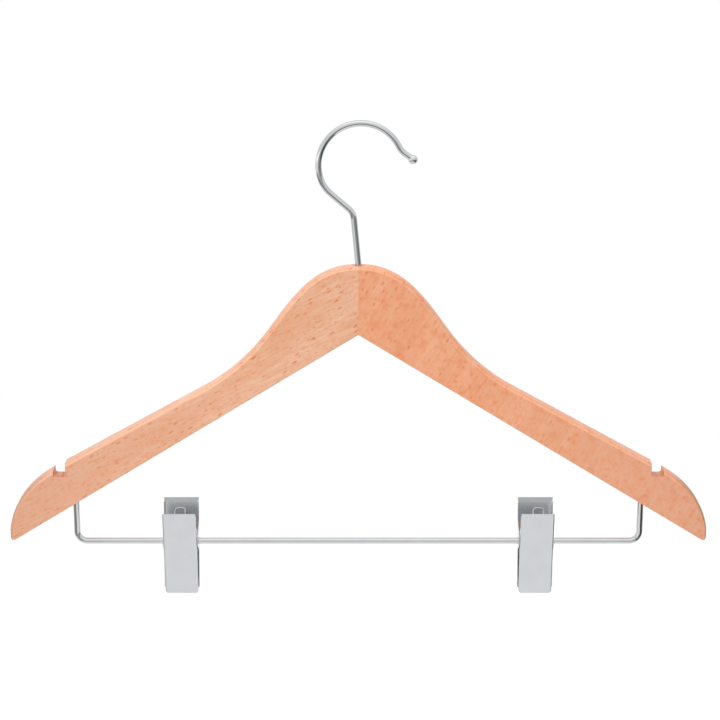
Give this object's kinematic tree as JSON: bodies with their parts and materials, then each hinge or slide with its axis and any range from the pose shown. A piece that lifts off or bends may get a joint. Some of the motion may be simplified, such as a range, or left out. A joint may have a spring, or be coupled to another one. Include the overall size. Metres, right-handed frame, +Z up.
{
  "type": "skirt hanger",
  "caption": "Flat wooden skirt hanger with a swivel wire hook, shoulder strap notches and a wire bar that carries sliding, swinging sprung clips.",
  "frame": {"origin": "seat of the rail: the inside of the hook's crown, on the axis that the hook swivels on", "axes": "+Z up, +X from the left arm to the right arm, the front of the hanger faces -Y"},
  "size_m": [0.445, 0.0222, 0.3071],
  "materials": {
    "beech_pale": "satin lacquer",
    "beech_warm": "satin lacquer",
    "chromed_wire": "bright plated",
    "chromed_sheet": "satin plated",
    "spring_steel": "drawn wire",
    "grip_rubber": "matt"
  },
  "bodies": {
    "hook": {"swivel_hook": "chromed_wire"},
    "hanger": {"left_arm": "beech_pale", "right_arm": "beech_warm", "hook_washer": "spring_steel", "clip_bar": "chromed_wire"},
    "left_clip_slider": {"left_clip_spring": "spring_steel"},
    "left_clip_back": {"left_clip_back_jaw": "chromed_sheet", "left_clip_back_pad": "grip_rubber"},
    "left_clip_front": {"left_clip_front_jaw": "chromed_sheet", "left_clip_front_pad": "grip_rubber"},
    "right_clip_slider": {"right_clip_spring": "spring_steel"},
    "right_clip_back": {"right_clip_back_jaw": "chromed_sheet", "right_clip_back_pad": "grip_rubber"},
    "right_clip_front": {"right_clip_front_jaw": "chromed_sheet", "right_clip_front_pad": "grip_rubber"}
  },
  "joints": [
    {"name": "hook_swivel", "type": "hinge", "parent": "hook", "child": "hanger", "pos_m": [0, 0, 0], "axis": [0, 0, 1], "continuous": true},
    {"name": "left_clip_slide", "type": "slide", "parent": "hanger", "child": "left_clip_slider", "axis": [1, 0, 0], "range_m": [-0.047, 0.102]},
    {"name": "left_clip_swing", "type": "hinge", "parent": "left_clip_slider", "child": "left_clip_back", "pos_m": [-0.1142, 0, -0.2675], "axis": [1, 0, 0], "range_deg": [-150, 150], "deforming": ["left_clip_spring"]},
    {"name": "left_clip_open", "type": "hinge", "parent": "left_clip_back", "child": "left_clip_front", "pos_m": [-0.1142, 0, -0.2675], "axis": [-1, 0, 0], "range_deg": [0, 32], "stiffness_Nm_per_rad": 0.4, "springref_deg": -51.57, "deforming": ["left_clip_spring"]},
    {"name": "right_clip_slide", "type": "slide", "parent": "hanger", "child": "right_clip_slider", "axis": [1, 0, 0], "range_m": [-0.102, 0.047]},
    {"name": "right_clip_swing", "type": "hinge", "parent": "right_clip_slider", "child": "right_clip_back", "pos_m": [0.1142, 0, -0.2675], "axis": [1, 0, 0], "range_deg": [-150, 150], "deforming": ["right_clip_spring"]},
    {"name": "right_clip_open", "type": "hinge", "parent": "right_clip_back", "child": "right_clip_front", "pos_m": [0.1142, 0, -0.2675], "axis": [-1, 0, 0], "range_deg": [0, 32], "stiffness_Nm_per_rad": 0.4, "springref_deg": -51.57, "deforming": ["right_clip_spring"]}
  ]
}
